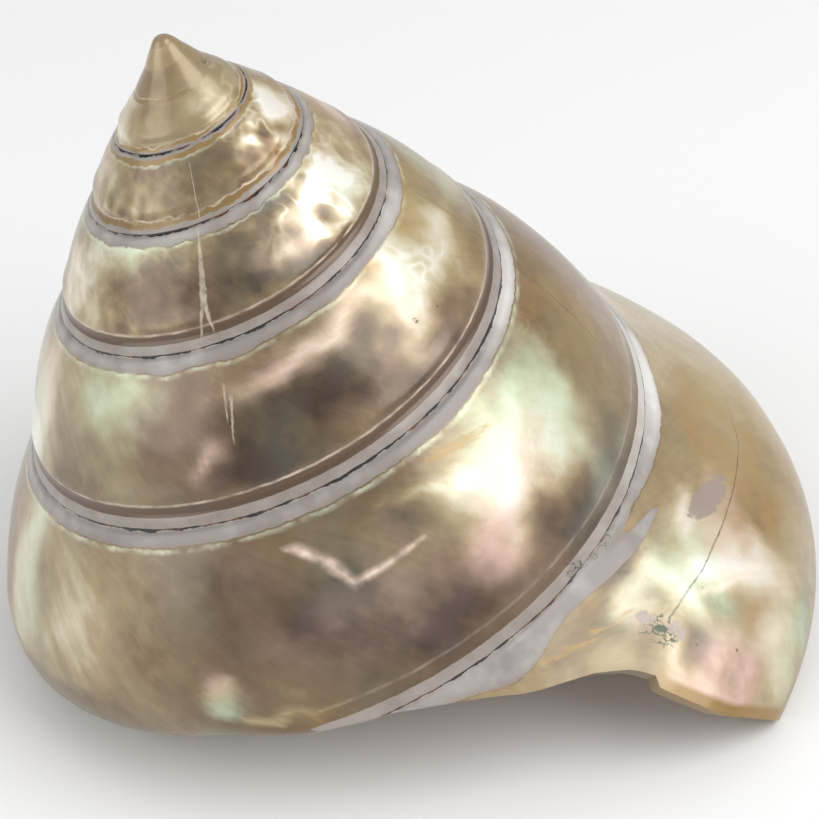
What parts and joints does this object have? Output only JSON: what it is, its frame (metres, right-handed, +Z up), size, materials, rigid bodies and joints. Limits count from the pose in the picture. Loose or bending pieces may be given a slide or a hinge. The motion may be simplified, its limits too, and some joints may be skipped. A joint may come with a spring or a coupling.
{
  "type": "turban shell",
  "caption": "Polished pearly cone-shaped sea shell with flat whorls, white bands at the seams, a keel and a wide mouth, standing on its keel and lip.",
  "frame": {"origin": "on the surface that the shell stands on, under the middle of its box", "axes": "+Z up; +Y away from the viewer of the picture; +X to the right, towards the lip"},
  "size_m": [0.1008, 0.0924, 0.0837],
  "materials": {
    "pearl": "polished natural mother of pearl"
  },
  "bodies": {
    "root": {"shell": "pearl"}
  },
  "joints": []
}
